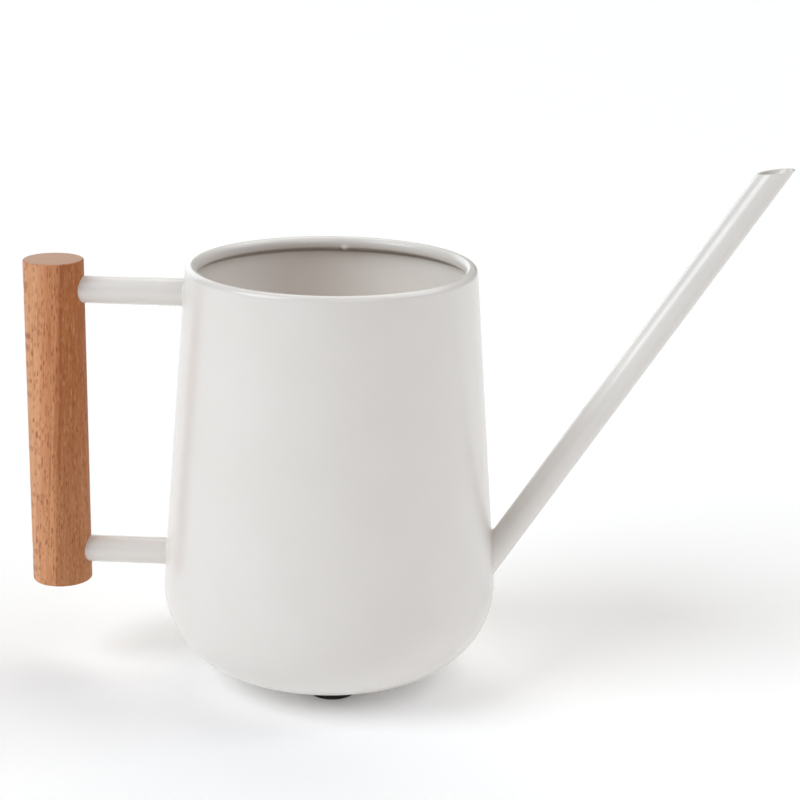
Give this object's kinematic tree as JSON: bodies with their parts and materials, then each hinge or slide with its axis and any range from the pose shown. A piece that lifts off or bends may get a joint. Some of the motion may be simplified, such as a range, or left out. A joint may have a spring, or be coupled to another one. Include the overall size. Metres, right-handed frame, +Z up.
{
  "type": "watering can",
  "caption": "Small indoor watering can: tapered coated steel body with curled mouth and rounded base, slender straight spout, and a straight beech grip on tube arms.",
  "frame": {"origin": "on the plane the feet stand on, under the middle of the whole object's length and width", "axes": "+X towards the spout's tip, away from the grip; +Z up; +Y to the left of someone who holds the grip and looks along the spout"},
  "size_m": [0.2752, 0.1234, 0.1954],
  "materials": {
    "stone_coated_steel": "off-white stone powder coat, satin gloss, very slight orange peel",
    "beech": "oiled steamed beech, satin, lengthwise grain with short dark flecks",
    "black_rubber": "matte moulded rubber",
    "plated_steel": "zinc plated, slightly dulled"
  },
  "bodies": {
    "root": {"body_wall": "stone_coated_steel", "base_pan": "stone_coated_steel", "spout_tube": "stone_coated_steel", "spout_weld": "stone_coated_steel", "lower_arm": "stone_coated_steel", "lower_arm_weld": "stone_coated_steel", "upper_arm": "stone_coated_steel", "upper_arm_weld": "stone_coated_steel", "grip": "beech", "lower_arm_plug": "plated_steel", "upper_arm_plug": "plated_steel", "lower_grip_screw": "plated_steel", "upper_grip_screw": "plated_steel", "foot_front": "black_rubber", "foot_spout_side": "black_rubber", "foot_back": "black_rubber", "foot_grip_side": "black_rubber"}
  },
  "joints": []
}
